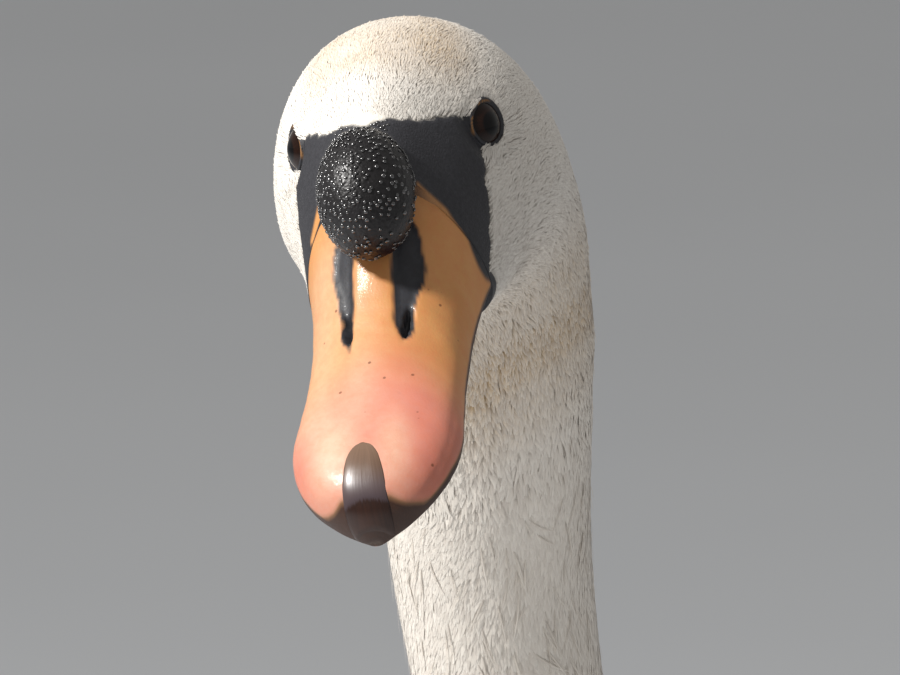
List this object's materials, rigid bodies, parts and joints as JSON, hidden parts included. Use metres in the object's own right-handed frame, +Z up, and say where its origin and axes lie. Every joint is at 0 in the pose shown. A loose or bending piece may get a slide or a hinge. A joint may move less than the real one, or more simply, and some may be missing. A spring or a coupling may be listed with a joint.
{
  "type": "mute swan",
  "caption": "Life-size still model of an adult white swan resting on its belly, neck raised, with a black knob over an orange bill.",
  "frame": {"origin": "middle of the flat under the belly, on the floor", "axes": "+Z up; the bird faces -Y, so +Y runs from the bill to the tail; +X is the bird's left side"},
  "size_m": [0.4138, 0.895, 0.7222],
  "materials": {
    "white_plumage": "soft, matt feathers",
    "orange_bill": "satin horn, paler and pinker towards the tip",
    "black_bare_skin": "satin bare skin and horn",
    "brown_eye": "wet, glossy",
    "grey_leg_skin": "scaly, matt skin"
  },
  "bodies": {
    "root": {"trunk": "white_plumage", "neck_lower": "white_plumage", "neck_middle": "white_plumage", "neck_upper": "white_plumage", "head": "white_plumage", "knob": "black_bare_skin", "bill_upper": "orange_bill", "bill_lower": "black_bare_skin", "nail": "black_bare_skin", "eye_left": "brown_eye", "eye_right": "brown_eye", "wing_left": "white_plumage", "wing_right": "white_plumage", "primaries_left": "white_plumage", "primaries_right": "white_plumage", "tail": "white_plumage", "leg_left": "grey_leg_skin", "leg_right": "grey_leg_skin", "foot_left": "grey_leg_skin", "foot_right": "grey_leg_skin"}
  },
  "joints": []
}
